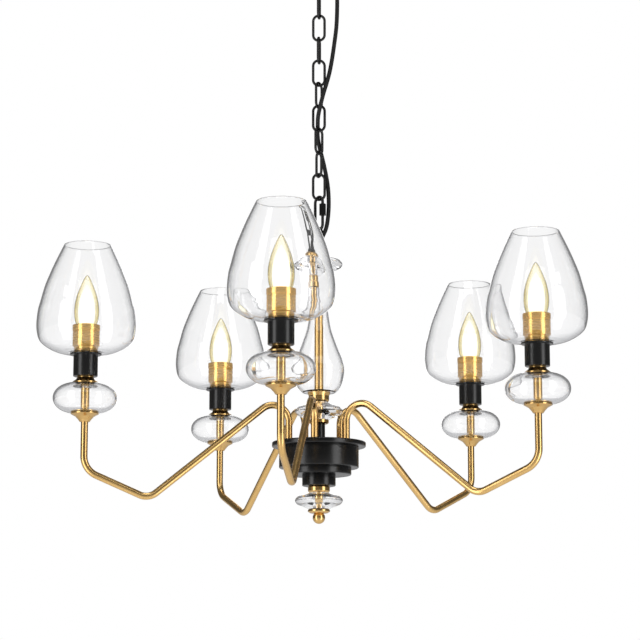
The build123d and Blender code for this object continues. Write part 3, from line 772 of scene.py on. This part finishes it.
# %% Finial
FINIAL_DISC_HIGH_H, FINIAL_DISC_WIDE_H, FINIAL_DISC_LOW_H = -106.0, -117.0, -129.0
FINIAL_BORE_R, FINIAL_TUBE_R = 4.55, 6.0
BALL_R, BALL_CENTRE_H, BALL_TOP_ANGLE, BALL_STEPS = 8.75, -141.2, 40.6, 26
FINIAL_RING_LINE = [(FINIAL_BORE_R, FINIAL_DISC_HIGH_H), (13.5, FINIAL_DISC_HIGH_H), (15.4, -104.0),
                    (15.4, -98.5), (14.0, HUB_CUP_LOW_H), (FINIAL_BORE_R, HUB_CUP_LOW_H)]
FINIAL_COLLAR_LINE = [(0, FINIAL_DISC_LOW_H), (14.0, FINIAL_DISC_LOW_H), (15.5, -130.5), (15.5, -133.0),
                      (12.0, -135.0), (7.4, -135.3)]

brass_piece("finial_ring_brass", turned(FINIAL_RING_LINE, 0.5), "finial_upper_ring")
piece("finial_disc_glass", disc(FINIAL_DISC_LOW_H, FINIAL_DISC_HIGH_H, FINIAL_DISC_WIDE_H), "finial_glass",
      ["finial_glass"], disc_glass)
finial_tube_line = pipe(FINIAL_BORE_R, FINIAL_TUBE_R, FINIAL_DISC_LOW_H, FINIAL_DISC_HIGH_H)
piece("finial_brass_tube", turned(finial_tube_line, 0.3), "finial_glass", ["finial_tube"],
      aged_brass)
collar_line = round_corners(FINIAL_COLLAR_LINE, 0.6)
ball_line = arc(BALL_CENTRE_H, BALL_R, BALL_TOP_ANGLE, -90, BALL_STEPS)
piece("finial_brass_ball", outward(*lathe(np.vstack([collar_line, ball_line]), False)), "finial_ball",
      ["finial_ball"], aged_brass)


# %% [markdown]
# ## Arms
# Each arm is one tube, bent three times in an upright plane: up out of the hub, down to a knee, and up again
# under its lamp. The centre line is straight runs with round bends, and the circle is carried along it.

# %% Arms
ARM_CORNERS = [(43.0, -52.0), (43.0, 42.0), (239.8, -118.4), (330.0, -79.5), (330.0, -3.0)]
ARM_BENDS = [1.0, 23.0, 22.0, 29.0, 1.0]
ARM_R = 5.0
arm_line = round_corners(ARM_CORNERS, ARM_BENDS, 18, share=0.9)
for index in range(ARMS):
    line, flat = stood(arm_line, math.degrees(arm_angle(index)))
    chandelier_piece(f"arm_tube_{index + 1}", outward(*tube(line, ARM_R * MM, flat, 36)), f"arm_{index + 1}",
                     tube_brass)


# %% [markdown]
# ## Lamps
# From the arm's end up: a cone, a hollow glass ball round a thin tube, a cone again, a black cup with a
# flange, the glass shade, the ring that screws it down, and the bulb. They are turned or blown, so each is
# an outline on the lathe, made once and put on each arm.

# %% Glass balls
BALL_FLAT_R, BALL_WIDE_R, BALL_H, BALL_WALL = 18.0, 44.75, 41.0, 2.6
BALL_FOOT_LINE = np.array([(8.5, 0.0), (13.0, 0.0)])
ball_turn = np.radians(np.linspace(-90, 90, 40))
ball_side = np.c_[BALL_FLAT_R + (BALL_WIDE_R - BALL_FLAT_R) * np.cos(ball_turn),
                  BALL_H / 2 * (1 + np.sin(ball_turn))]
ball_outline = np.vstack([BALL_FOOT_LINE, ball_side, BALL_FOOT_LINE[::-1] + (0, BALL_H)])
chandelier_piece("ball_glasses", on_every_arm(lambda c: blown(ball_outline, BALL_WALL, c)), "glass_balls",
                 clear_glass)

# %% Cones, tubes and cups
CUP_FOOT_H, CUP_RIM_H = 50.6, 83.3
LOWER_CONE_LINE = [(5.05, -13.0), (7.0, -13.0), (9.0, -10.0), (13.0, -5.5), (19.5, -2.0), (19.5, 0.0),
                   (5.05, 0.0)]
UPPER_CONE_LINE = [(6.05, BALL_H), (17.75, BALL_H), (17.75, 43.0), (13.0, 46.5), (11.5, 49.0),
                   (11.5, CUP_FOOT_H), (6.05, CUP_FOOT_H)]
LAMP_TUBE_LINE = pipe(4.2, 6.0, -3.0, 58.0)
CUP_LINE = [(6.05, CUP_FOOT_H), (17.1, CUP_FOOT_H), (17.1, 80.8), (22.0, 80.8), (22.0, CUP_RIM_H),
            (15.5, CUP_RIM_H), (15.5, 54.0), (6.05, 54.0)]
CUP_CORNERS = [0.3, 1.2, 0.8, 0.8, 0.8, 0.4, 0.4, 0.3]


def cones(c):
    """The cone that carries the glass ball, and the one that stands on it."""
    return joined(turned(LOWER_CONE_LINE, 0.5, c, 72), turned(UPPER_CONE_LINE, 0.5, c, 72))


brass_piece("cone_brasses", on_every_arm(cones), "ball_cones")
brass_piece("lamp_brass_tubes", on_every_arm(lambda c: turned(LAMP_TUBE_LINE, 0.2, c, 48)), "lamp_tubes")
black_piece("black_cups", on_every_arm(lambda c: turned(CUP_LINE, CUP_CORNERS, c)), "candle_cups")


# %% [markdown]
# ### Shades, rings and bulbs
# A shade is a blown wall with an open mouth. The bulb is a thin blown flame on a threaded cap, whose radius
# is R - depth * (0.5 + 0.5 * cos(2 * pi * height / pitch)), with the glowing core inside it.

# %% Outlines above the cup
SHADE_FOOT_H, SHADE_WALL = 83.36, 2.4
SHADE_LINE = [(16.0, SHADE_FOOT_H), (22.0, SHADE_FOOT_H), (28.0, SHADE_FOOT_H), (38.5, 85.0), (49.0, 89.0),
              (60.0, 96.0), (66.6, 104.5), (69.5, 121.0), (68.0, 142.0), (64.6, 156.0), (59.0, 177.0),
              (53.0, 193.0), (45.5, 211.0), (33.3, 237.0)]
RING_LINE = [(14.3, 85.75), (16.9, 85.75), (16.9, 92.0), (18.7, 92.6), (18.7, 113.6), (18.35, 113.6),
             (18.35, 115.0), (19.15, 115.0), (19.15, 123.0), (17.95, 123.0), (17.95, 94.0), (14.3, 92.0)]
BULB_LOW_H, BULB_HIGH_H, BULB_WALL = 108.0, 194.0, 0.9
BULB_LINE = [(7.3, BULB_LOW_H), (8.6, 112.0), (13.0, 121.0), (16.4, 131.0), (17.5, 142.0), (16.6, 154.0),
             (13.4, 167.0), (9.0, 179.0), (4.6, 189.0), (1.4, 193.6), (0.0, BULB_HIGH_H)]
CORE_LINE = [(0.0, CORE_LOW_H), (4.6, 111.0), (7.8, 118.0), (10.6, 129.0), (11.8, 142.0), (10.8, 155.0),
             (7.4, 167.0), (3.4, 176.0), (0.0, CORE_HIGH_H)]
CAP_TIP_H, CAP_TIP_R = 88.0, 3.5
CAP_LOW_H, CAP_HIGH_H, THREAD_R, THREAD_DEPTH, THREAD_PITCH = 91.0, 107.5, 6.9, 0.4, 3.0

shade_line = flowing(SHADE_LINE, 9)
bulb_outer = flowing(BULB_LINE, 8)
bulb_tangent = unit(np.gradient(bulb_outer, axis=0))
bulb_inner = bulb_outer + BULB_WALL * np.c_[-bulb_tangent[:, 1], bulb_tangent[:, 0]]
bulb_inner[:, 0] = np.maximum(bulb_inner[:, 0], 0)
bulb_inner[-1] = (0, BULB_HIGH_H - BULB_WALL)
bulb_inner = bulb_inner[bulb_inner[:, 1] >= BULB_LOW_H + BULB_WALL]
bulb_section = np.vstack([bulb_outer, bulb_inner[::-1], [(0.0, BULB_LOW_H + BULB_WALL), (0.0, BULB_LOW_H)]])
core_section = flowing(CORE_LINE, 6)
cap_height = np.linspace(CAP_LOW_H, CAP_HIGH_H, 60)
cap_radius = THREAD_R - THREAD_DEPTH * (0.5 + 0.5 * np.cos(2 * math.pi * cap_height / THREAD_PITCH))
cap_section = np.vstack([[(0, CAP_TIP_H), (CAP_TIP_R, CAP_TIP_H)], np.c_[cap_radius, cap_height],
                         [(0, CAP_HIGH_H)]])

# %% Shades, rings and bulbs
for index in range(ARMS):
    c, k = arm_point(index), index + 1
    shade_body, ring_body, bulb_body = f"glass_shade_{k}", f"shade_ring_{k}", f"bulb_{k}"
    piece(f"shade_glass_{k}", blown(shade_line, SHADE_WALL, c, 144), shade_body, [shade_body],
          clear_glass)
    piece(f"shade_ring_brass_{k}", turned(RING_LINE, 0.3, c), ring_body, [ring_body],
          ring_brass_painted_glow)
    piece(f"bulb_glass_{k}", outward(*lathe(bulb_section, False, 72, c)), bulb_body, [bulb_body],
          bulb_glass)
    piece(f"bulb_core_{k}", outward(*lathe(core_section, False, 48, c)), bulb_body, [bulb_body],
          bulb_glow)
    piece(f"bulb_cap_{k}", outward(*lathe(cap_section, False, 48, c)), bulb_body, [bulb_body],
          plated_steel)


# %% [markdown]
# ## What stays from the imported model
# Fittings with plain machined shapes are right as they are, and get a finish. So do the hidden ones.

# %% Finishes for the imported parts
BY_SLOT = {"aged_brass": aged_brass, "satin_black": satin_black, "clear_glass": clear_glass,
           "plated_steel": plated_steel, "lit_bulb": bulb_glass, "black_cable": cable_black,
           "black_plastic": plastic_black, "white_plastic": white_plastic, "holder_plastic": holder_plastic,
           "wire_insulation": wire_insulation}
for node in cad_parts.values():
    for held in node.material_slots:
        held.material = BY_SLOT[held.material.name.split(".")[0]]
print("finished", len(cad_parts), "packed parts")


# %% [markdown]
# ## Studio
# Tubes and glass show what is round them, so the room matters as much as the metal. Two tall soft boxes
# stand to the left and right of the camera, with darkness between them, which draws two bright lines along
# each tube. The background is white where it is seen, directly or through glass, and dim where it is only
# reflected, which gives clear glass its grey edges.

# %% World
WHITE, DIFFUSE_ROOM = (1.0, 1.0, 1.0), (0.75, 0.75, 0.76)
DARK_ROOM, GREY_ROOM = (0.14, 0.138, 0.135), (0.42, 0.42, 0.43)
GREY_PER_SURFACE = 0.34     # the share of the grey room that each glass surface on the way adds
world = bpy.data.worlds.new("studio")
bpy.context.scene.world = world
sky = Finish("studio", world)


def light_path(output):
    """What the Light Path node knows about the ray that arrives."""
    return sky.node("ShaderNodeLightPath", output=output)


# A mirrored ray finds a dark room, apart from one that has come through glass, which finds a grey one.
inside = light_path("Transmission Depth") * GREY_PER_SURFACE
mirrored = sky.mixed(sky.clamped(inside), DARK_ROOM, GREY_ROOM)
seen = sky.clamped(light_path("Is Camera Ray") + light_path("Is Transmission Ray"))
unmirrored = sky.clamped(1 - light_path("Glossy Depth") - light_path("Diffuse Depth"))
dim = sky.mixed(light_path("Is Diffuse Ray"), mirrored, DIFFUSE_ROOM)
shade = sky.mixed(seen * unmirrored, dim, WHITE)
sky.node_out(sky.node("ShaderNodeBackground", {}, {"Color": shade, "Strength": 1.0}), "ShaderNodeOutputWorld")
print("world", world.name)


# %% [markdown]
# ### Soft boxes
# Each one is placed by the angle round the stem from the camera's side, in degrees, its height above the
# lamp level, its distance from the stem and its size, in metres, and its power in watts.

# %% Soft boxes
def soft_box(name, turn, height, distance, width, tall, power):
    """A rectangular light that is aimed at the middle of the lamps. What is seen through glass shows the ones
    in front, and not the ones behind."""
    data = bpy.data.lights.new(name, "AREA")
    data.shape, data.size, data.size_y, data.energy = "RECTANGLE", width, tall, power
    box = bpy.data.objects.new(name, data)
    bpy.context.collection.objects.link(box)
    angle = CAMERA_TURN + math.radians(turn - 90)
    box.location = (distance * math.cos(angle), distance * math.sin(angle), lamp_level + height)
    aim = Vector((0, 0, lamp_level)) - box.location
    box.rotation_mode = "QUATERNION"
    box.rotation_quaternion = aim.to_track_quat("-Z", "Y")
    box.visible_camera = False
    box.visible_transmission = abs(turn) < 90
    print(name, power, "W")


soft_box("left_soft_box", turn=-52, height=-0.1, distance=2.2, width=0.9, tall=3.4, power=30)
soft_box("right_soft_box", turn=52, height=-0.1, distance=2.2, width=0.9, tall=3.4, power=30)
soft_box("top_soft_box", turn=0, height=2.4, distance=0.4, width=1.2, tall=1.2, power=14)
soft_box("front_soft_box", turn=0, height=1.7, distance=2.2, width=2.0, tall=0.8, power=7)
soft_box("back_soft_box", turn=180, height=0.8, distance=2.6, width=1.2, tall=1.6, power=10)


# %% [markdown]
# ### Floor
# A pale floor far below the chandelier, as a flat grid of squares. It fills the view from above.

# %% Floor
FLOOR_Z, FLOOR_HALF, FLOOR_CELLS = -2.3, 40.0, 40
spots = np.linspace(-FLOOR_HALF, FLOOR_HALF, FLOOR_CELLS + 1)
floor_x, floor_y = np.meshgrid(spots, spots)
floor_points = np.stack([floor_x, floor_y, np.full_like(floor_x, FLOOR_Z)], -1).reshape(-1, 3)
first = np.arange(FLOOR_CELLS)[:, None] * (FLOOR_CELLS + 1) + np.arange(FLOOR_CELLS)
above = first + FLOOR_CELLS + 1
floor_faces = np.stack([first, first + 1, above + 1, above], -1).reshape(-1, 4)
floor_mesh = bpy.data.meshes.new("floor")
floor_mesh.from_pydata(floor_points.tolist(), [], floor_faces.tolist())
floor_mesh.materials.append(plain("pale_floor", (0.92, 0.92, 0.92), 0.8))
floor = bpy.data.objects.new("floor", floor_mesh)
bpy.context.collection.objects.link(floor)
print("floor at", FLOOR_Z)

bpy.context.scene.view_settings.view_transform = "Standard"
